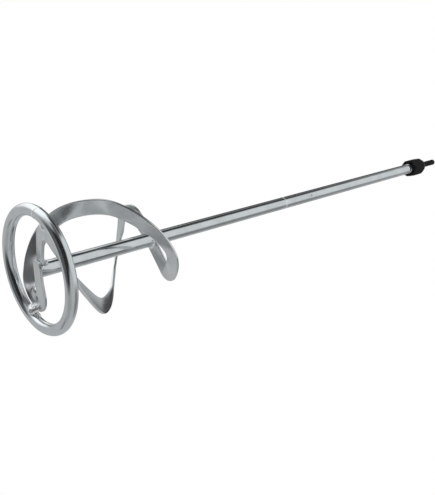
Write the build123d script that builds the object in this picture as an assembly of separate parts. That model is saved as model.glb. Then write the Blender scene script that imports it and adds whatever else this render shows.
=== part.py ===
from build123d import *
import math
import os

os.makedirs("parts", exist_ok=True)

# Mortar mixing paddle, millimetres. +Z runs along the shaft towards the drive
# end, the origin is the bottom centre of the ring the paddle stands on.

# ring: one round bar bent to a circle and butt welded
BAR_R = 5.5            # bar radius
RING_R = 54.5          # centre-line radius
RING_Z = BAR_R
SEAM_DEG = 113.0       # where the bar's two ends meet
SEAM_GAP = 1.6         # degrees taken by the butt weld
SEAM_PROUD = 0.2       # the weld stands this far above the bar
NICK_R = 1.1           # unfilled pit on the seam's inner side
NICK_DROP = 1.4

# shaft: two lengths of tube joined over a spigot
SHAFT_R = 7.0
BORE_R = 4.5
SHAFT_LOW = 6.0        # the tube is trimmed to the wing feet above this level
JOINT_Z = 328.0        # seam between the two tubes
GROOVE = 0.7           # half width of the weld groove at a seam
GROOVE_DEEP = 1.2
CROWN = 0.14           # height of a ground-down weld bead over the tube
CROWN_HALF = 0.3
SPIGOT_DOWN = 40.0
SPIGOT_UP = 66.0
PIN_Z = 374.0
PIN_R = 1.5
PIN_DEG = 172.0
SHAFT_TOP = 597.0      # end of the upper tube
LEAD = 0.5             # chamfer on parts pressed into a bore

# threaded stud, M14
STUD_IN = 34.0         # length pressed into the tube
COLLAR = 2.6           # collar between the tube and the thread
THREAD_R = 6.9
THREAD_L = 24.0        # length inside the adapter
RELIEF_D = 0.8         # run-out groove under the thread
RELIEF_L = 1.2
THREAD_GAP = 3.4       # collar to adapter

# drive adapter: hexagon body, round shank for a drill chuck
HEX_AF = 22.0
HEX_L = 33.0
LOW_FACE = 10.4        # radius of the end face towards the tube
LOW_TAPER = 6.0        # length over which the corners come down to it
TOP_FACE = 9.2         # the same at the shank's end
TOP_TAPER = 10.0
SOCKET_R = 7.0
SOCKET_LEAD = 2.0
SHANK_R = 4.0
SHANK_L = 38.5
SHOULDER = 1.6         # radius and length of the step at the shank's root
TIP_CHAMFER = 2.0

# wings: 15 x 2.5 flat bar bent by hand, so the two differ a little
WING_W = 15.0
WING_T = 2.5
SECTION_STEP = 6.5     # spacing of the lofted sections
FOOT_STEPS = 6
BEND_STEPS = 7
# Each flight row: angle about the shaft, radius of the bar's centre line,
# height, and the tilt of its width, outer edge up. The second wing is turned
# half way round the shaft. A bend is centre, radius, heading in and out,
# height in and out, tilt in and out.
WINGS = {
    "wing_a": dict(
        turn=0,
        foot={"len": 33.5, "flat": 17, "z": 6.4, "tilt": -5},
        bend_in=((17.2, -23.5), 9, 284, 410, 7.2, 8.7, 0, 0),
        flight=[
            (327, 38.0, 9.2, -3), (334, 36.4, 10.2, -17), (360, 32.5, 14.1, -23),
            (379, 35.3, 20.5, -29), (401, 41.0, 31.0, -26), (423, 45.5, 46.7, -21),
            (445, 44.7, 65.0, -11), (467, 42.0, 82.5, -8), (489, 38.8, 93.5, 0),
            (511, 38.6, 102.5, 6), (534, 41.0, 112.0, 7), (556, 44.8, 119.3, 4),
        ],
        bend_out=((-24.6, -24.3), 9.2, 315, 418, 124.2, 127.6, 3, -1),
        top={"len": 30.5, "z": 129.8, "tilt": 0},
    ),
    "wing_b": dict(
        turn=180,
        foot={"len": 22.5, "flat": 12, "z": 8.4, "tilt": 11},
        bend_in=((17.5, -23.5), 9, 290, 410, 9.0, 9.7, 8, 0),
        flight=[
            (334, 38.0, 10.5, -8), (360, 36.5, 14.0, -20), (379, 37.0, 20.5, -26),
            (401, 42.0, 31.0, -22), (423, 47.5, 46.0, -16), (445, 47.0, 64.0, -10),
            (467, 44.5, 81.5, 0), (489, 41.5, 94.5, 14), (511, 39.2, 105.5, 22),
            (534, 39.3, 115.0, 26), (556, 40.3, 121.5, 18),
        ],
        bend_out=((-22.2, -21.3), 8.8, 315, 420, 122.5, 127, 16, 8),
        top={"len": 24.5, "z": 130, "tilt": 8},
    ),
}

# weld beads: radius of the drops, and where the runs lie
RIM_DROP = 3.9
RIM_BEAD_R = 47.6      # between the hairpin and the ring's inner side
RIM_DEG = (296, 313)
FOOT_DROP = 1.9
TOP_DROP = 1.75


def cs(deg):
    a = math.radians(deg)
    return math.cos(a), math.sin(a)


def biggest(shape):
    return max(shape.solids(), key=lambda s: s.volume)


def cut(body, *tools):
    for tool in tools:
        body = body - tool
    return biggest(body)


def turned(outline):
    """Solid of revolution about Z from (radius, height) points."""
    face = make_face(Polyline(*[(r, 0, z) for r, z in outline], close=True))
    return revolve(face, Axis.Z, 360)


def stations(foot, bend_in, flight, bend_out, top):
    """Centre points and width directions of a wing, from its foot under the
    shaft, round the hairpin at the ring, up the flight and back to the shaft."""
    points, widths = [], []

    def put(x, y, z, ux, uy, tilt):
        c, s = cs(tilt)
        points.append((x, y, z))
        widths.append((uy * c, -ux * c, s))

    def bend(centre, radius, deg0, deg1, z0, z1, tilt0, tilt1):
        for i in range(BEND_STEPS):
            t = i / (BEND_STEPS - 1)
            ux, uy = cs(deg0 + (deg1 - deg0) * t)
            put(centre[0] + radius * uy, centre[1] - radius * ux, z0 + (z1 - z0) * t,
                ux, uy, tilt0 + (tilt1 - tilt0) * t)

    centre, radius, deg0, deg1, z0, z1, tilt0, tilt1 = bend_in
    ux, uy = cs(deg0)
    start_x, start_y = centre[0] + radius * uy, centre[1] - radius * ux
    for i in range(FOOT_STEPS):
        back = foot["len"] * (1 - i / FOOT_STEPS)
        k = max(0.0, 1 - back / (foot["len"] - foot["flat"]))
        put(start_x - ux * back, start_y - uy * back, foot["z"] + (z0 - foot["z"]) * k,
            ux, uy, foot["tilt"] + (tilt0 - foot["tilt"]) * k)
    bend(*bend_in)
    for deg, radius, z, tilt in flight:
        a, b = cs(deg)
        put(radius * a, radius * b, z, -b, a, tilt)
    bend(*bend_out)
    ux, uy = cs(bend_out[3])
    end_x, end_y, end_z = points[-1]
    for t in (0.25, 0.5, 0.75, 1):
        put(end_x + ux * top["len"] * t, end_y + uy * top["len"] * t,
            end_z + (top["z"] - end_z) * t, ux, uy, bend_out[7] + (top["tilt"] - bend_out[7]) * t)
    return points, widths


def hermite(xs, ys, x):
    """Smooth curve through unevenly spaced values, slopes from neighbours."""
    last = len(xs) - 1
    i = 0
    while i < last - 1 and x > xs[i + 1]:
        i += 1

    def slope(j):
        if j == 0:
            return (ys[1] - ys[0]) / (xs[1] - xs[0])
        if j == last:
            return (ys[-1] - ys[-2]) / (xs[-1] - xs[-2])
        ha, hb = xs[j] - xs[j - 1], xs[j + 1] - xs[j]
        da, db = (ys[j] - ys[j - 1]) / ha, (ys[j + 1] - ys[j]) / hb
        return (da * hb + db * ha) / (ha + hb)

    h = xs[i + 1] - xs[i]
    t = (x - xs[i]) / h
    return (
        (2 * t**3 - 3 * t**2 + 1) * ys[i]
        + (t**3 - 2 * t**2 + t) * h * slope(i)
        + (3 * t**2 - 2 * t**3) * ys[i + 1]
        + (t**3 - t**2) * h * slope(i + 1)
    )


def flat_bar(points, widths):
    """Flat bar lofted along the stations."""
    run = [0.0]
    for p, q in zip(points, points[1:]):
        run.append(run[-1] + math.dist(p, q))
    total = run[-1]
    count = round(total / SECTION_STEP)
    near = 0.3             # reach of the tangent's two samples

    def along(rows, s):
        return Vector(*[hermite(run, [row[k] for row in rows], s) for k in range(3)])

    sections = []
    for i in range(count + 1):
        s = total * i / count
        c = along(points, s)
        tangent = (along(points, min(total, s + near)) - along(points, max(0.0, s - near))).normalized()
        w = along(widths, s)
        w = (w - tangent * w.dot(tangent)).normalized() * (WING_W / 2)
        n = tangent.cross(w).normalized() * (WING_T / 2)
        sections.append(Wire.make_polygon([c + w + n, c - w + n, c - w - n, c + w - n], close=True))
    return Solid.make_loft(sections, ruled=False)


def bead(drops):
    """A weld bead: one rippled run through the drops, thin at both ends."""
    waist, overshoot, tip = 0.84, 0.75, 0.35   # shares of a drop's radius
    path = []
    for p, q in zip(drops, drops[1:]):
        path.append(p)
        path.append(tuple((u + v) / 2 for u, v in zip(p[:3], q[:3])) + (waist * (p[3] + q[3]) / 2,))
    path.append(drops[-1])

    def beyond(end, inner):
        d = (Vector(*end[:3]) - Vector(*inner[:3])).normalized()
        p = Vector(*end[:3]) + d * end[3] * overshoot
        return (p.X, p.Y, p.Z, end[3] * tip)

    path = [beyond(path[0], path[1])] + path + [beyond(path[-1], path[-2])]
    wires = []
    for i, (x, y, z, r) in enumerate(path):
        before = Vector(*path[max(0, i - 1)][:3])
        after = Vector(*path[min(len(path) - 1, i + 1)][:3])
        section = Plane(origin=(x, y, z), x_dir=(0, 0, 1), z_dir=(after - before).normalized()) * Circle(r)
        wires.append(section.wire())
    return Solid.make_loft(wires, ruled=True)


def swell(i):
    """Uneven size of the drops along a bead, as a share."""
    return 1 + 0.13 * math.sin(1.7 * i + 0.6)


def turn_drops(drops, deg):
    a, b = cs(deg)
    return [(x * a - y * b, x * b + y * a, z, r) for x, y, z, r in drops]


def arc_drops(radius, z, drop, deg0, deg1, count):
    out = []
    for i in range(count):
        a, b = cs(deg0 + (deg1 - deg0) * i / (count - 1))
        out.append((radius * a, radius * b, z, drop * swell(i)))
    return out


def line_drops(start, end, drop, count):
    out = []
    for i in range(count):
        t = i / (count - 1)
        out.append(tuple(u + (v - u) * t for u, v in zip(start, end)) + (drop * swell(i),))
    return out


# ---- ring ----

def ring_arc(radius, degrees, start):
    section = Pos(RING_R, 0, RING_Z) * Rot(90, 0, 0) * Circle(radius)
    return revolve(section, Axis.Z, degrees).rotate(Axis.Z, start)


def make_ring_weld():
    weld = ring_arc(BAR_R + SEAM_PROUD, SEAM_GAP, SEAM_DEG - SEAM_GAP / 2)
    slab = 4 * BAR_R       # keeps the weld above the level the ring stands on
    weld = biggest(weld & (Pos(0, 0, slab / 2) * Box(3 * RING_R, 3 * RING_R, slab)))
    a, b = cs(SEAM_DEG)
    r = RING_R - BAR_R + 0.1
    return cut(weld, Pos(r * a, r * b, RING_Z - NICK_DROP) * Sphere(NICK_R))


ring = ring_arc(BAR_R, 360 - SEAM_GAP, SEAM_DEG + SEAM_GAP / 2)
ring_weld = make_ring_weld()

# ---- wings ----

core = Pos(0, 0, 150) * Cylinder(SHAFT_R, 200)   # the shaft above the feet
wings = {}
for name, d in WINGS.items():
    bar = flat_bar(*stations(d["foot"], d["bend_in"], d["flight"], d["bend_out"], d["top"]))
    wings[name] = cut(bar.rotate(Axis.Z, d["turn"]), core)
wings["wing_a"] = cut(wings["wing_a"], wings["wing_b"])

# ---- shaft ----

def pipe(z0, z1, groove_low):
    """Length of shaft tube with half a weld groove on its ends."""
    low = [(SHAFT_R - GROOVE_DEEP, z0), (SHAFT_R, z0 + GROOVE)] if groove_low else [(SHAFT_R, z0)]
    return turned([(BORE_R, z0), *low, (SHAFT_R, z1 - GROOVE), (SHAFT_R - GROOVE_DEEP, z1), (BORE_R, z1)])


def seam_bead(z):
    return turned([(SHAFT_R - GROOVE_DEEP, z), (SHAFT_R, z - GROOVE), (SHAFT_R + CROWN, z - CROWN_HALF),
                   (SHAFT_R + CROWN, z + CROWN_HALF), (SHAFT_R, z + GROOVE)])


shaft_lower = cut(pipe(SHAFT_LOW, JOINT_Z, False), wings["wing_b"], wings["wing_a"])
pin_bar = Pos(0, 0, PIN_Z) * Rot(0, 0, PIN_DEG) * Rot(0, 90, 0) * Cylinder(PIN_R, 4 * SHAFT_R)
shaft_pin = pin_bar & (Pos(0, 0, PIN_Z) * Cylinder(SHAFT_R, 4 * PIN_R))
shaft_upper = cut(pipe(JOINT_Z, SHAFT_TOP, True), pin_bar)
spigot_z0, spigot_z1 = JOINT_Z - SPIGOT_DOWN, JOINT_Z + SPIGOT_UP
shaft_spigot = turned([(0, spigot_z0), (BORE_R - LEAD, spigot_z0), (BORE_R, spigot_z0 + LEAD),
                       (BORE_R, spigot_z1 - LEAD), (BORE_R - LEAD, spigot_z1), (0, spigot_z1)])
shaft_spigot = cut(shaft_spigot, pin_bar)

# ---- threaded stud ----

thread_z = SHAFT_TOP + COLLAR
adapter_z = thread_z + THREAD_GAP
stud_top = adapter_z + THREAD_L
thread_stud = turned([
    (0, SHAFT_TOP - STUD_IN), (BORE_R - LEAD, SHAFT_TOP - STUD_IN), (BORE_R, SHAFT_TOP - STUD_IN + LEAD),
    (BORE_R, SHAFT_TOP), (SHAFT_R - GROOVE_DEEP, SHAFT_TOP), (SHAFT_R, SHAFT_TOP + GROOVE),
    (SHAFT_R, thread_z - 0.4), (SHAFT_R - 0.4, thread_z), (THREAD_R - RELIEF_D, thread_z),
    (THREAD_R - RELIEF_D, thread_z + RELIEF_L), (THREAD_R, thread_z + RELIEF_L + RELIEF_D),
    (THREAD_R, stud_top - 1), (THREAD_R - 1, stud_top), (0, stud_top),
])

# ---- drive adapter ----

def make_adapter():
    top = adapter_z + HEX_L
    tip = top + SHANK_L
    hexagon = Pos(0, 0, adapter_z) * extrude(RegularPolygon(HEX_AF / 2, 6, major_radius=False), HEX_L)
    beyond = HEX_AF / 2 / math.cos(math.pi / 6) + 0.5
    tapers = turned([(0, adapter_z), (LOW_FACE, adapter_z), (beyond, adapter_z + LOW_TAPER),
                     (beyond, top - TOP_TAPER), (TOP_FACE, top), (0, top)])
    shank = turned([
        (0, top - 2), (SHANK_R + SHOULDER, top - 2), (SHANK_R + SHOULDER, top),
        (SHANK_R + 0.5, top + 0.5), (SHANK_R, top + SHOULDER),
        (SHANK_R, tip - TIP_CHAMFER), (SHANK_R - TIP_CHAMFER, tip), (0, tip),
    ])
    socket = turned([(0, adapter_z - 1), (SOCKET_R + SOCKET_LEAD, adapter_z - 1), (SOCKET_R, adapter_z + 1),
                     (SOCKET_R, stud_top), (0, stud_top)])
    return cut((hexagon & tapers) + shank, socket)


adapter = make_adapter()

# ---- welds on the wings ----

def rim_bead(name, z):
    drops = arc_drops(RIM_BEAD_R, z, RIM_DROP, *RIM_DEG, 6)
    return cut(bead(turn_drops(drops, WINGS[name]["turn"])), ring, ring_weld, wings[name])


def top_bead(name):
    """Across the wing's end where it meets the shaft."""
    d = WINGS[name]
    ux, uy = cs(d["bend_out"][3])
    c, s = cs(d["top"]["tilt"])
    width = Vector(uy * c, -ux * c, s)
    normal = Vector(ux, uy, 0).cross(width)
    drops = []
    for i in range(6):
        along = -5.5 + 2.2 * i
        reach = math.sqrt((SHAFT_R + 0.4) ** 2 - (along * c) ** 2)
        p = Vector(-ux * reach, -uy * reach, d["top"]["z"]) + width * along + normal * 1.6
        drops.append((p.X, p.Y, p.Z, TOP_DROP * swell(i)))
    return cut(bead(turn_drops(drops, d["turn"])), shaft_stub, wings[name])


shaft_stub = Pos(0, 0, 130) * Cylinder(SHAFT_R, 80)
rim_weld_a = rim_bead("wing_a", 5.8)
rim_weld_b = rim_bead("wing_b", 7.0)
top_weld_a = top_bead("wing_a")
top_weld_b = top_bead("wing_b")
tube_foot = Pos(0, 0, 46) * Cylinder(SHAFT_R, 80)
foot_weld_a = bead(line_drops((-6.4, 5.4, 5.4), (3.6, 8.0, 6.2), FOOT_DROP, 5))
foot_weld_a = cut(foot_weld_a, wings["wing_a"], wings["wing_b"], tube_foot)
foot_weld_b = bead(arc_drops(SHAFT_R + 0.4, 10.7, FOOT_DROP, 70, 140, 6))
foot_weld_b = cut(foot_weld_b, tube_foot, wings["wing_b"], wings["wing_a"])

nodes = {
    "ring": ring,
    "ring_weld": ring_weld,
    "shaft_lower": shaft_lower,
    "shaft_upper": shaft_upper,
    "shaft_spigot": shaft_spigot,
    "shaft_pin": shaft_pin,
    "seam_weld": seam_bead(JOINT_Z),
    "stud_weld": seam_bead(SHAFT_TOP),
    "thread_stud": thread_stud,
    "adapter": adapter,
    "wing_a": wings["wing_a"],
    "wing_b": wings["wing_b"],
    "foot_weld_a": foot_weld_a,
    "foot_weld_b": foot_weld_b,
    "rim_weld_a": rim_weld_a,
    "rim_weld_b": rim_weld_b,
    "top_weld_a": top_weld_a,
    "top_weld_b": top_weld_b,
}

for name, shape in nodes.items():
    body = biggest(shape)
    box = body.bounding_box()
    print(f"{name:13s} solids {len(shape.solids())} volume {body.volume:9.1f} valid {body.is_valid} "
          f"z {box.min.Z:7.2f} {box.max.Z:7.2f}")
    export_step(body, os.path.join("parts", name + ".step"))
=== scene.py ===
"""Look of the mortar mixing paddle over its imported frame: bent wings, weld beads
and a cut thread replace the plain CAD nodes, and the rest keep their CAD shape.
Lengths are millimetres in the frame's axes until mesh_object turns them into metres."""
import math

import bmesh
import bpy
from mathutils import Matrix, Vector, noise


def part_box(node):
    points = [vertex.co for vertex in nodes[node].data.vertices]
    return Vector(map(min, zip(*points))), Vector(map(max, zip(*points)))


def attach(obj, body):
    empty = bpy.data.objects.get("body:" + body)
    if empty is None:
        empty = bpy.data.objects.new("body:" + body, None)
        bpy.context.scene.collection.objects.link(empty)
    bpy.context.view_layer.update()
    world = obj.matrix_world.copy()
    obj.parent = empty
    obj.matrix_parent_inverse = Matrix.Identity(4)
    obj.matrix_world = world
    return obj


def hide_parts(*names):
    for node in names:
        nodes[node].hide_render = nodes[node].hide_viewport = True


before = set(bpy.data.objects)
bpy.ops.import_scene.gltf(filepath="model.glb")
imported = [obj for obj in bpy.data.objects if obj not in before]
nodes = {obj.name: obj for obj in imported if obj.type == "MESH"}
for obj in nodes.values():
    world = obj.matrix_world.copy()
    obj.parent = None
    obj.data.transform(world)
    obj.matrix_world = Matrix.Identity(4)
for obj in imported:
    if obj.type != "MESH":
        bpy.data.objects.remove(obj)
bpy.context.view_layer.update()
MM = 0.001


def corner(node, k):
    """A node's lowest (k = 0) or highest (k = 1) corner in millimetres."""
    return [round(c / MM, 3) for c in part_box(node)[k]]


SHAFT_R = corner("shaft_upper", 1)[0]
SHAFT_TOP = corner("shaft_upper", 1)[2]


def cs(deg):
    a = math.radians(deg)
    return math.cos(a), math.sin(a)


def uneven(i, share, pace, start):
    """A drop's size beside its neighbours': 1, more or less by up to share."""
    return 1 + share * math.sin(pace * i + start)


# ---------------------------------------------------------------- materials

EVEN = (1, 1, 1)       # texture not stretched any way
MARK_DEPTH = 0.0002    # metres, depth of marks and specks in the plating
PIT_DEPTH = 0.0003     # the same in a weld


def new_material(name, colour, metallic, rough):
    m = bpy.data.materials.new(name)
    m.use_nodes = True
    b = m.node_tree.nodes["Principled BSDF"]
    b.inputs["Base Color"].default_value = (*colour, 1)
    b.inputs["Metallic"].default_value = metallic
    b.inputs["Roughness"].default_value = rough
    return m, m.node_tree, b


def add(tree, kind, **values):
    n = tree.nodes.new(kind)
    for k, v in values.items():
        if k in n.inputs:
            n.inputs[k].default_value = v
        else:
            setattr(n, k, v)
    return n


def place(tree, scale, attribute=None):
    """Object coordinates in metres, or a stored vector attribute, stretched by scale."""
    if attribute:
        src = add(tree, "ShaderNodeAttribute", attribute_name=attribute).outputs["Vector"]
    else:
        src = add(tree, "ShaderNodeTexCoord").outputs["Object"]
    m = add(tree, "ShaderNodeMapping")
    m.inputs["Scale"].default_value = scale
    tree.links.new(src, m.inputs["Vector"])
    return m.outputs["Vector"]


def grain(tree, vec, scale, detail=4.0, rough=0.6):
    n = add(tree, "ShaderNodeTexNoise")
    n.inputs["Scale"].default_value = scale
    n.inputs["Detail"].default_value = detail
    n.inputs["Roughness"].default_value = rough
    tree.links.new(vec, n.inputs["Vector"])
    return n.outputs["Fac"]


def remap(tree, fac, a, b):
    """The middle of a noise's range, stretched to run from a to b."""
    n = add(tree, "ShaderNodeMapRange")
    n.inputs["From Min"].default_value = 0.3
    n.inputs["From Max"].default_value = 0.7
    n.inputs["To Min"].default_value = a
    n.inputs["To Max"].default_value = b
    tree.links.new(fac, n.inputs["Value"])
    return n.outputs["Result"]


def ramp(tree, fac, stops):
    n = add(tree, "ShaderNodeValToRGB")
    r = n.color_ramp
    while len(r.elements) < len(stops):
        r.elements.new(0.5)
    for e, (p, c) in zip(r.elements, stops):
        e.position = p
        e.color = (*c, 1)
    tree.links.new(fac, n.inputs["Fac"])
    return n.outputs["Color"]


def bump(tree, bsdf, height, strength, distance, under=None):
    n = add(tree, "ShaderNodeBump")
    n.inputs["Strength"].default_value = strength
    n.inputs["Distance"].default_value = distance
    tree.links.new(height, n.inputs["Height"])
    if under is not None:
        tree.links.new(under, n.inputs["Normal"])
    tree.links.new(n.outputs["Normal"], bsdf.inputs["Normal"])
    return n.outputs["Normal"]


def zinc(name, colour, dark, rough, spread, brush, brush_scale, brush_depth, attribute=None):
    """Zinc plated steel: clouded plating, fine marks along brush, and small specks."""
    m, t, b = new_material(name, colour, 1.0, rough)
    cloud = grain(t, place(t, EVEN, attribute), scale=55, detail=5, rough=0.55)
    t.links.new(ramp(t, cloud, [(0.32, dark), (0.62, colour)]), b.inputs["Base Color"])
    marks = grain(t, place(t, brush, attribute), brush_scale, detail=3, rough=0.7)
    speck = grain(t, place(t, EVEN, attribute), scale=420, detail=2, rough=0.5)
    t.links.new(remap(t, marks, rough - spread, rough + spread), b.inputs["Roughness"])
    low = bump(t, b, marks, brush_depth, MARK_DEPTH)
    bump(t, b, speck, brush_depth * 0.6, MARK_DEPTH, low)
    return m


TUBE_LIGHT, TUBE_DARK = (0.80, 0.83, 0.85), (0.68, 0.71, 0.73)
RING_DARK = (0.72, 0.75, 0.77)
BAR_LIGHT, BAR_DARK = (0.82, 0.84, 0.85), (0.72, 0.74, 0.76)

mat_shaft = zinc("zinc_tube", TUBE_LIGHT, TUBE_DARK, rough=0.15, spread=0.04,
                 brush=(1, 1, 0.03), brush_scale=1500, brush_depth=0.10)
mat_ring = zinc("zinc_ring", TUBE_LIGHT, RING_DARK, rough=0.11, spread=0.03,
                brush=EVEN, brush_scale=260, brush_depth=0.08)
mat_wing = zinc("zinc_flat_bar", BAR_LIGHT, BAR_DARK, rough=0.19, spread=0.04,
                brush=(1, 0.05, 1), brush_scale=700, brush_depth=0.06, attribute="bar_place")


def weld_material(name, light, dark, metallic, rough, pits):
    """Plated weld: zinc, cloudier and rougher than on the bar. A near-white light colour puts a
    painted highlight into the weld's zinc tone.
    """
    m, t, b = new_material(name, light, metallic, rough)
    v = place(t, EVEN)
    spots = grain(t, v, scale=320)
    t.links.new(ramp(t, spots, [(0.36, dark), (0.55, light)]), b.inputs["Base Color"])
    t.links.new(remap(t, spots, rough + 0.08, rough - 0.06), b.inputs["Roughness"])
    bump(t, b, grain(t, v, scale=600, detail=3), pits, PIT_DEPTH)
    return m


def dark_steel():
    """The pin's end: unplated, spotted steel."""
    dark, light = (0.34, 0.34, 0.35), (0.55, 0.56, 0.57)
    m, t, b = new_material("pin_steel", (0.45, 0.46, 0.47), 1.0, 0.40)
    v = place(t, EVEN)
    spots = grain(t, v, scale=500)
    t.links.new(ramp(t, spots, [(0.4, dark), (0.6, light)]), b.inputs["Base Color"])
    bump(t, b, grain(t, v, scale=1400), 0.3, MARK_DEPTH)
    return m


def black_oxide():
    """The adapter: blackened steel with little shine and fine turning marks."""
    dark, light = (0.002, 0.002, 0.0025), (0.007, 0.007, 0.008)
    m, t, b = new_material("black_oxide", (0.004, 0.004, 0.0045), 0.0, 0.42)
    cloud = grain(t, place(t, EVEN), scale=160)
    t.links.new(ramp(t, cloud, [(0.35, dark), (0.7, light)]), b.inputs["Base Color"])
    t.links.new(remap(t, cloud, 0.34, 0.52), b.inputs["Roughness"])
    bump(t, b, grain(t, place(t, (1, 1, 0.2)), scale=1800, detail=2), 0.25, MARK_DEPTH)
    b.inputs["Specular IOR Level"].default_value = 0.06
    return m


# Rim, top, ring, seam and stud welds: base colour lifted to near white, a painted highlight over the
# zinc's own tone; the foot welds keep the plain zinc tone.
mat_weld_painted_highlight = weld_material("weld_painted_highlight", (0.98, 0.98, 0.98), (0.84, 0.85, 0.86),
                         metallic=0.85, rough=0.17, pits=0.05)
mat_weld_dull = weld_material("weld_dull", (0.80, 0.82, 0.83), (0.60, 0.62, 0.63),
                              metallic=1.0, rough=0.34, pits=0.20)
mat_pin = dark_steel()
mat_black = black_oxide()


def dress(obj, material):
    obj.data.materials.clear()
    obj.data.materials.append(material)


# ---------------------------------------------------------------- wings

WING_W = 15.0
WING_T = 2.5
EDGE_R = 0.7           # rolled edge of the flat bar
EDGE_POINTS = 5        # round each rolled edge
FLAT_POINTS = (0.86, 0.5, 0.0, -0.5, -0.86)   # across each flat side, shares of its half width
CORNER_R = 4.5         # rounded corners of the foot's end
TIP_W, TIP_T = 0.3, 0.35   # how far the end face is drawn in, across and through
WEB = 1.7              # metal squeezed inwards where the hairpin's legs touch
WEB_AFTER = 1.5        # from the end of the hairpin's bend
WEB_LENGTH = 30.0
WAVE = 0.10            # the bar's faces are out of flat by this much
EDGE_WAVE = 0.05       # and its edges out of straight
RING_STEP = 2.0        # spacing of the mesh's sections
NEAR = 0.3             # reach of the tangent's two samples
FOOT_STEPS = 6
BEND_STEPS = 7

# Each flight row: angle about the shaft, radius of the centre line, height,
# and the tilt of the width, outer edge up. A bend is centre, radius, heading
# in and out, height in and out, tilt in and out. The same values shape the CAD.
WINGS = {
    "wing_a": dict(
        turn=0,
        foot={"len": 33.5, "flat": 17, "z": 6.4, "tilt": -5},
        bend_in=((17.2, -23.5), 9, 284, 410, 7.2, 8.7, 0, 0),
        flight=[
            (327, 38.0, 9.2, -3), (334, 36.4, 10.2, -17), (360, 32.5, 14.1, -23),
            (379, 35.3, 20.5, -29), (401, 41.0, 31.0, -26), (423, 45.5, 46.7, -21),
            (445, 44.7, 65.0, -11), (467, 42.0, 82.5, -8), (489, 38.8, 93.5, 0),
            (511, 38.6, 102.5, 6), (534, 41.0, 112.0, 7), (556, 44.8, 119.3, 4),
        ],
        bend_out=((-24.6, -24.3), 9.2, 315, 418, 124.2, 127.6, 3, -1),
        top={"len": 30.5, "z": 129.8, "tilt": 0},
    ),
    "wing_b": dict(
        turn=180,
        foot={"len": 22.5, "flat": 12, "z": 8.4, "tilt": 11},
        bend_in=((17.5, -23.5), 9, 290, 410, 9.0, 9.7, 8, 0),
        flight=[
            (334, 38.0, 10.5, -8), (360, 36.5, 14.0, -20), (379, 37.0, 20.5, -26),
            (401, 42.0, 31.0, -22), (423, 47.5, 46.0, -16), (445, 47.0, 64.0, -10),
            (467, 44.5, 81.5, 0), (489, 41.5, 94.5, 14), (511, 39.2, 105.5, 22),
            (534, 39.3, 115.0, 26), (556, 40.3, 121.5, 18),
        ],
        bend_out=((-22.2, -21.3), 8.8, 315, 420, 122.5, 127, 16, 8),
        top={"len": 24.5, "z": 130, "tilt": 8},
    ),
}


def stations(foot, bend_in, flight, bend_out, top):
    """Centre points and width directions of a wing from its foot to its top end."""
    points, widths = [], []

    def put(x, y, z, ux, uy, tilt):
        c, s = cs(tilt)
        points.append((x, y, z))
        widths.append((uy * c, -ux * c, s))

    def bend(centre, radius, deg0, deg1, z0, z1, tilt0, tilt1):
        for i in range(BEND_STEPS):
            t = i / (BEND_STEPS - 1)
            ux, uy = cs(deg0 + (deg1 - deg0) * t)
            put(centre[0] + radius * uy, centre[1] - radius * ux, z0 + (z1 - z0) * t,
                ux, uy, tilt0 + (tilt1 - tilt0) * t)

    centre, radius, deg0, deg1, z0, z1, tilt0, tilt1 = bend_in
    ux, uy = cs(deg0)
    start_x, start_y = centre[0] + radius * uy, centre[1] - radius * ux
    for i in range(FOOT_STEPS):
        back = foot["len"] * (1 - i / FOOT_STEPS)
        k = max(0.0, 1 - back / (foot["len"] - foot["flat"]))
        put(start_x - ux * back, start_y - uy * back, foot["z"] + (z0 - foot["z"]) * k,
            ux, uy, foot["tilt"] + (tilt0 - foot["tilt"]) * k)
    bend(*bend_in)
    for deg, radius, z, tilt in flight:
        a, b = cs(deg)
        put(radius * a, radius * b, z, -b, a, tilt)
    bend(*bend_out)
    ux, uy = cs(bend_out[3])
    end_x, end_y, end_z = points[-1]
    for t in (0.25, 0.5, 0.75, 1):
        put(end_x + ux * top["len"] * t, end_y + uy * top["len"] * t,
            end_z + (top["z"] - end_z) * t, ux, uy, bend_out[7] + (top["tilt"] - bend_out[7]) * t)
    return points, widths


def hermite(xs, ys, x):
    """Smooth curve through unevenly spaced values, slopes from neighbours."""
    last = len(xs) - 1
    i = 0
    while i < last - 1 and x > xs[i + 1]:
        i += 1

    def slope(j):
        if j == 0:
            return (ys[1] - ys[0]) / (xs[1] - xs[0])
        if j == last:
            return (ys[-1] - ys[-2]) / (xs[-1] - xs[-2])
        ha, hb = xs[j] - xs[j - 1], xs[j + 1] - xs[j]
        da, db = (ys[j] - ys[j - 1]) / ha, (ys[j + 1] - ys[j]) / hb
        return (da * hb + db * ha) / (ha + hb)

    h = xs[i + 1] - xs[i]
    t = (x - xs[i]) / h
    return ((2 * t**3 - 3 * t**2 + 1) * ys[i] + (t**3 - 2 * t**2 + t) * h * slope(i)
            + (3 * t**2 - 2 * t**3) * ys[i + 1] + (t**3 - t**2) * h * slope(i + 1))


def bar_section(half_w, half_t):
    """Closed outline of the bar's section, with extra points that keep the faces flat."""
    most = 0.95            # share of a half size that the edge's radius may take
    r = min(EDGE_R, half_w * most, half_t * most)
    out = []
    for sx, sy, start in ((1, 1, 0), (-1, 1, 90), (-1, -1, 180), (1, -1, 270)):
        for k in range(EDGE_POINTS):
            c, s = cs(start + 90 * k / (EDGE_POINTS - 1))
            out.append((sx * (half_w - r) + r * c, sy * (half_t - r) + r * s))
        if start in (0, 180):
            for f in FLAT_POINTS:
                out.append((sx * f * (half_w - r), sy * half_t))
    return out


def mesh_object(name, verts, faces, smooth=True):
    me = bpy.data.meshes.new(name)
    me.from_pydata([tuple(c * MM for c in v) for v in verts], [], faces)
    me.validate()
    if smooth:
        me.shade_smooth()
    ob = bpy.data.objects.new(name, me)
    bpy.context.scene.collection.objects.link(ob)
    return ob


def close_ring(a, b, n):
    """Faces between two rings of n points that start at a and at b."""
    return [(a + i, a + (i + 1) % n, b + (i + 1) % n, b + i) for i in range(n)]


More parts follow.
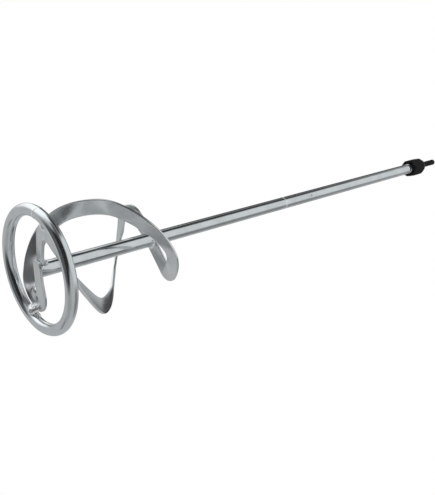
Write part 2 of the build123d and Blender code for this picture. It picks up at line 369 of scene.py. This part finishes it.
def tube_faces(rings, n):
    """Faces of a closed body made of rings of n points, with both end faces."""
    faces = []
    for k in range(rings - 1):
        faces += close_ring(k * n, (k + 1) * n, n)
    faces.append(tuple(reversed(range(n))))
    faces.append(tuple((rings - 1) * n + i for i in range(n)))
    return faces


def wing(name, turn, foot, bend_in, flight, bend_out, top):
    """Flat bar along the stations, with rolled edges and rounded foot corners."""
    pts, wid = stations(foot, bend_in, flight, bend_out, top)
    run = [0.0]
    for p, q in zip(pts, pts[1:]):
        run.append(run[-1] + math.dist(p, q))
    total = run[-1]
    web_from = run[FOOT_STEPS + BEND_STEPS - 1]
    tc, ts = cs(turn)

    def along(rows, s):
        v = Vector([hermite(run, [row[k] for row in rows], s) for k in range(3)])
        return Vector((v.x * tc - v.y * ts, v.x * ts + v.y * tc, v.z))

    def at(s):
        return along(pts, max(0.0, min(total, s)))

    marks = [0.0, 0.12] + [CORNER_R * (1 - cs(a)[0]) for a in range(20, 91, 10)]
    steps = int((total - CORNER_R) / RING_STEP)
    marks += [CORNER_R + (total - CORNER_R) * i / steps for i in range(1, steps + 1)]
    verts, bar_place = [], []
    for s in marks:
        tang = (at(s + NEAR) - at(s - NEAR)).normalized()
        w = along(wid, s)
        w = (w - tang * w.dot(tang)).normalized()
        nrm = tang.cross(w)
        half_w = WING_W / 2
        half_t = WING_T / 2
        if s < CORNER_R:
            half_w += CORNER_R * (math.sin(math.acos(max(0.0, 1 - s / CORNER_R))) - 1)
        if s == 0.0:
            half_w -= TIP_W
            half_t -= TIP_T
        web_at = min(1.0, max(0.0, (s - web_from - WEB_AFTER) / WEB_LENGTH))
        web = WEB * math.sin(math.pi * web_at)
        c = at(s)
        wave = WAVE * noise.noise(Vector((s * 0.045, turn, 0.3)))
        section = bar_section(half_w, half_t)
        for x, y in section:
            edge = EDGE_WAVE * noise.noise(Vector((s * 0.12, x * 0.3, turn + 5.1)))
            reach = x * (1 + web / half_w) if x < 0 else x
            verts.append(tuple(c + w * (reach + edge) + nrm * (y + wave)))
            bar_place.append((x * MM, s * MM, y * MM))
    ob = mesh_object(name, verts, tube_faces(len(marks), len(section)))
    a = ob.data.attributes.new("bar_place", "FLOAT_VECTOR", "POINT")
    a.data.foreach_set("vector", [c for p in bar_place for c in p])
    bm = bmesh.new()
    bm.from_mesh(ob.data)
    bmesh.ops.recalc_face_normals(bm, faces=bm.faces)
    bm.to_mesh(ob.data)
    bm.free()
    return ob


for name, d in WINGS.items():
    ob = wing(name + "_bar", **d)
    dress(ob, mat_wing)
    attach(ob, "root")
    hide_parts(name)

# ---------------------------------------------------------------- welds

VOXEL = 0.32           # grain of the fused skin
SOFTEN = 9             # smoothing passes over it
GRIT = 0.12            # fine bumps, as a share of the lumps
RIM_Z = {"wing_a": 6.4, "wing_b": 7.6}   # height of the lump at the ring
BESIDE = 0.4           # centres of the drops stand this far off the tube
TOP_DROP = 1.7         # radius of the drops across a wing's top end
TOP_DROPS = 6
TOP_PITCH = 2.2        # from drop to drop
TOP_LIFT = 1.6         # above the bar's centre


def turn_drops(drops, deg):
    """The same drops turned about the shaft."""
    a, b = cs(deg)
    return [(x * a - y * b, x * b + y * a, z, r) for x, y, z, r in drops]


def weld(name, drops, lump, material):
    """A weld: overlapping drops fused into one skin, softened and made lumpy."""
    bm = bmesh.new()
    for x, y, z, r in drops:
        bmesh.ops.create_icosphere(bm, subdivisions=3, radius=r, matrix=Matrix.Translation((x, y, z)))
    me = bpy.data.meshes.new(name + "_drops")
    bm.to_mesh(me)
    bm.free()
    tmp = bpy.data.objects.new(name + "_drops", me)
    bpy.context.scene.collection.objects.link(tmp)
    fuse = tmp.modifiers.new("fuse", "REMESH")
    fuse.mode = "VOXEL"
    fuse.voxel_size = VOXEL
    soft = tmp.modifiers.new("soften", "SMOOTH")
    soft.factor = 0.5
    soft.iterations = SOFTEN
    depsgraph = bpy.context.evaluated_depsgraph_get()
    fused = bpy.data.meshes.new_from_object(tmp.evaluated_get(depsgraph))
    verts = []
    for v in fused.vertices:
        n = noise.noise(v.co * 0.45) + GRIT * noise.noise(v.co * 1.5)
        verts.append(tuple(v.co + v.normal * n * lump))
    faces = [tuple(f.vertices) for f in fused.polygons]
    bpy.data.objects.remove(tmp)
    bpy.data.meshes.remove(fused)
    ob = mesh_object(name + "_bead", verts, faces)
    dress(ob, material)
    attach(ob, "root")
    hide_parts(name)


def arc_drops(radius, z, drop, deg0, deg1, count):
    """Drops along an arc about the shaft, uneven in size and place."""
    out = []
    for i in range(count):
        a, b = cs(deg0 + (deg1 - deg0) * i / (count - 1))
        r = radius + 0.4 * math.sin(2.3 * i)
        out.append((r * a, r * b, z + 0.35 * math.cos(2.9 * i), drop * uneven(i, 0.16, 1.9, 0.6)))
    return out


def line_drops(start, end, drop, count):
    """Drops along a straight line."""
    out = []
    for i in range(count):
        t = i / (count - 1)
        spot = [u + (v - u) * t for u, v in zip(start, end)]
        out.append((*spot, drop * uneven(i, 0.15, 1.7, 0.4)))
    return out


def rim_drops(name):
    """The heavy lump between the hairpin and the ring, with smaller ones beside it.
    Each row: radius about the shaft, angle, height under the lump's level, size."""
    rows = ((47.4, 305.0, 0.9, 4.9), (48.6, 299.0, 0.0, 2.5), (46.9, 309.6, 0.5, 3.5),
            (45.2, 303.0, 1.0, 2.6), (47.8, 312.0, -0.8, 2.2), (48.2, 296.0, -0.6, 1.9))
    out = []
    for radius, deg, under, size in rows:
        a, b = cs(deg)
        out.append((radius * a, radius * b, RIM_Z[name] - under, size))
    return out


def top_drops(name):
    """Across the wing's end where it meets the shaft."""
    d = WINGS[name]
    ux, uy = cs(d["bend_out"][3])
    c, s = cs(d["top"]["tilt"])
    width = Vector((uy * c, -ux * c, s))
    normal = Vector((ux, uy, 0)).cross(width)
    out = []
    for i in range(TOP_DROPS):
        off = TOP_PITCH * (i - (TOP_DROPS - 1) / 2)
        reach = math.sqrt((SHAFT_R + BESIDE) ** 2 - (off * c) ** 2)
        p = Vector((-ux * reach, -uy * reach, d["top"]["z"])) + width * off + normal * TOP_LIFT
        out.append((*p, TOP_DROP * uneven(i, 0.15, 1.7, 0.6)))
    return out


weld("rim_weld_a", rim_drops("wing_a"), 0.5, mat_weld_painted_highlight)
weld("rim_weld_b", turn_drops(rim_drops("wing_b"), 180), 0.5, mat_weld_painted_highlight)
weld("top_weld_a", top_drops("wing_a"), 0.3, mat_weld_painted_highlight)
weld("top_weld_b", turn_drops(top_drops("wing_b"), 180), 0.3, mat_weld_painted_highlight)
weld("foot_weld_a", line_drops((-6.4, 5.6, 5.4), (3.4, 8.2, 6.2), 1.15, 6), 0.2, mat_weld_dull)
weld("foot_weld_b", arc_drops(SHAFT_R + BESIDE, 10.9, 2.1, 72, 138, 5), 0.3, mat_weld_dull)

# ---------------------------------------------------------------- threaded stud

STUD_LOW = corner("thread_stud", 0)[2]
STUD_TOP = corner("thread_stud", 1)[2]
COLLAR_TOP = SHAFT_TOP + 2.6
COLLAR_EDGE = 0.4
RELIEF_TOP = COLLAR_TOP + 1.2   # run-out groove between collar and thread
RELIEF_R = 6.0
BORE_R = 4.5
LEAD = 0.5             # chamfer of the pressed-in end
GROOVE = 0.7           # half of the weld groove at the tube's end
GROOVE_DEEP = 1.2
THREAD_R = 6.9
THREAD_DEEP = 1.15
THREAD_END = 1.0       # chamfer at the thread's end
PITCH = 2.0
CUT_STEP = 0.2         # spacing of the thread's rings of points
CUT_RIM = 72           # points round each
AXIS_R = 0.001         # the end faces' small middle
SHARP = 28             # edges steeper than this stay sharp


def flank(turn):
    """Depth of the thread's cut at a share of its turn, 0 at the crest and 1 at the root."""
    return min(1.0, max(0.0, abs(turn - 0.5) * 2.6 - 0.15))


def stud():
    """Pressed-in end, collar, run-out groove and an M14 thread."""
    outline = [
        (AXIS_R, STUD_LOW), (BORE_R - LEAD, STUD_LOW), (BORE_R, STUD_LOW + LEAD),
        (BORE_R, SHAFT_TOP), (SHAFT_R - GROOVE_DEEP, SHAFT_TOP), (SHAFT_R, SHAFT_TOP + GROOVE),
        (SHAFT_R, COLLAR_TOP - COLLAR_EDGE), (SHAFT_R - COLLAR_EDGE, COLLAR_TOP),
        (RELIEF_R, COLLAR_TOP), (RELIEF_R, RELIEF_TOP),
    ]
    thread_top = STUD_TOP - THREAD_END
    cuts = round((thread_top - RELIEF_TOP) / CUT_STEP)
    outline += [(None, RELIEF_TOP + CUT_STEP * k) for k in range(1, cuts)]
    outline += [(RELIEF_R, thread_top), (RELIEF_R - THREAD_END, STUD_TOP), (AXIS_R, STUD_TOP)]
    verts = []
    for radius, z in outline:
        for i in range(CUT_RIM):
            r = radius
            if r is None:
                turn = ((z - RELIEF_TOP) / PITCH - i / CUT_RIM) % 1.0
                r = THREAD_R - THREAD_DEEP * flank(turn)
            c, s = cs(360 * i / CUT_RIM)
            verts.append((r * c, r * s, z))
    ob = mesh_object("thread_stud_m14", verts, tube_faces(len(outline), CUT_RIM))
    ob.data.set_sharp_from_angle(angle=math.radians(SHARP))
    dress(ob, mat_shaft)
    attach(ob, "root")
    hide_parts("thread_stud")


stud()

# ---------------------------------------------------------------- CAD nodes kept

for name, material in (
    ("ring", mat_ring), ("ring_weld", mat_weld_painted_highlight), ("seam_weld", mat_weld_painted_highlight), ("stud_weld", mat_weld_painted_highlight),
    ("shaft_lower", mat_shaft), ("shaft_upper", mat_shaft), ("shaft_spigot", mat_shaft),
    ("shaft_pin", mat_pin), ("adapter", mat_black),
):
    slots = nodes[name].data.materials
    for i in range(len(slots)):
        slots[i] = material
    if not slots:
        slots.append(material)

# ---------------------------------------------------------------- stage

FLOOR_Z = -0.3         # just under the ring
FLOOR_RADII = (0.1, 300, 1000, 3000, 8000)
FLOOR_RIM = 96         # points round each


def floor():
    """Plain pale disk, clear from below, where the main camera looks from."""
    verts, faces = [], []
    for r in FLOOR_RADII:
        for i in range(FLOOR_RIM):
            c, s = cs(360 * i / FLOOR_RIM)
            verts.append((r * c, r * s, FLOOR_Z))
    for k in range(len(FLOOR_RADII) - 1):
        faces += close_ring(k * FLOOR_RIM, (k + 1) * FLOOR_RIM, FLOOR_RIM)
    faces.append(tuple(range(FLOOR_RIM)))
    ob = mesh_object("floor", verts, faces, False)
    bm = bmesh.new()
    bm.from_mesh(ob.data)
    bmesh.ops.recalc_face_normals(bm, faces=bm.faces)
    for f in bm.faces:
        if f.normal.z < 0:
            f.normal_flip()
    bm.to_mesh(ob.data)
    bm.free()
    m = bpy.data.materials.new("floor_pale")
    m.use_nodes = True
    t = m.node_tree
    b = t.nodes["Principled BSDF"]
    b.inputs["Base Color"].default_value = (0.82, 0.82, 0.81, 1)
    b.inputs["Roughness"].default_value = 0.8
    clear = add(t, "ShaderNodeBsdfTransparent")
    mix = add(t, "ShaderNodeMixShader")
    geo = add(t, "ShaderNodeNewGeometry")
    t.links.new(geo.outputs["Backfacing"], mix.inputs["Fac"])
    t.links.new(b.outputs["BSDF"], mix.inputs[1])
    t.links.new(clear.outputs["BSDF"], mix.inputs[2])
    t.links.new(mix.outputs["Shader"], t.nodes["Material Output"].inputs["Surface"])
    ob.data.materials.append(m)
    ob.visible_glossy = False
    ob.visible_shadow = False


floor()


BASE = 0.48            # brightness of the surroundings between the lobes
TINT = (0.975, 0.995, 1.0)
# Azimuth, elevation, inner and outer half angle, and brightness of each soft box
# or dark screen. Later ones lie over earlier ones.
LOBES = [
    (165, 52, 30, 58, 0.72),
    (60, -14, 12, 28, 0.95),
    (60, 8, 20, 50, 1.20),
    (265, -50, 12, 40, 0.37),
    (250, 38, 8, 32, 0.24),
    (229, 28, 3, 11, 0.06),
    (150, -64, 30, 50, 0.02),
    (150, -28, 24, 42, 0.015),
    (118, 2, 8, 24, 0.10),
    (95, 38, 12, 26, 0.04),
    (98, 28, 7, 16, 0.03),
    (42, 48, 12, 28, 0.11),
    (60, -78, 20, 38, 0.10),
    (335, 52, 6, 17, 0.04),
    (2, -48, 2, 8, 0.70),
    (310, -32, 3, 13, 0.27),
]


def studio():
    """White for the camera and diffuse light; soft boxes and dark screens in reflections."""
    w = bpy.data.worlds.new("studio")
    bpy.context.scene.world = w
    w.use_nodes = True
    t = w.node_tree
    t.nodes.clear()
    out = add(t, "ShaderNodeOutputWorld")
    way = add(t, "ShaderNodeTexCoord").outputs["Generated"]
    level = None           # brightness so far, towards any direction
    for az, el, inner, outer, value in LOBES:
        c, s = cs(az)
        ce, se = cs(el)
        dot = add(t, "ShaderNodeVectorMath", operation="DOT_PRODUCT")
        t.links.new(way, dot.inputs[0])
        dot.inputs[1].default_value = (c * ce, s * ce, se)
        edge = add(t, "ShaderNodeMapRange", interpolation_type="SMOOTHSTEP")
        edge.inputs["From Min"].default_value = math.cos(math.radians(outer))
        edge.inputs["From Max"].default_value = math.cos(math.radians(inner))
        t.links.new(dot.outputs["Value"], edge.inputs["Value"])
        mix = add(t, "ShaderNodeMix", data_type="FLOAT")
        t.links.new(edge.outputs["Result"], mix.inputs["Factor"])
        if level is None:
            mix.inputs["A"].default_value = BASE
        else:
            t.links.new(level, mix.inputs["A"])
        mix.inputs["B"].default_value = value
        level = mix.outputs["Result"]
    light = add(t, "ShaderNodeBackground")
    light.inputs["Color"].default_value = (*TINT, 1)
    t.links.new(level, light.inputs["Strength"])
    white = add(t, "ShaderNodeBackground")
    white.inputs["Color"].default_value = (1, 1, 1, 1)
    path = add(t, "ShaderNodeLightPath")
    mirrored = add(t, "ShaderNodeMixShader")
    t.links.new(path.outputs["Is Glossy Ray"], mirrored.inputs["Fac"])
    t.links.new(white.outputs["Background"], mirrored.inputs[1])
    t.links.new(light.outputs["Background"], mirrored.inputs[2])
    t.links.new(mirrored.outputs["Shader"], out.inputs["Surface"])


studio()


LENS = 48.0
SENSOR = 36.0
CAMERA_AT = (-0.5359, 0.0796, -0.2500)     # metres, below the ring and beside the shaft
CAMERA_RIGHT = (-0.6648, -0.1685, 0.7278)
CAMERA_BACK = (-0.7470, 0.1500, -0.6477)


def camera():
    data = bpy.data.cameras.new("camera")
    data.lens = LENS
    data.sensor_width = SENSOR
    ob = bpy.data.objects.new("camera", data)
    right = Vector(CAMERA_RIGHT).normalized()
    back = Vector(CAMERA_BACK).normalized()
    up = back.cross(right).normalized()
    right = up.cross(back)
    m = Matrix((right, up, back)).transposed().to_4x4()
    m.translation = CAMERA_AT
    ob.matrix_world = m
    bpy.context.scene.collection.objects.link(ob)
    bpy.context.scene.camera = ob


camera()
bpy.context.scene.view_settings.view_transform = "Standard"
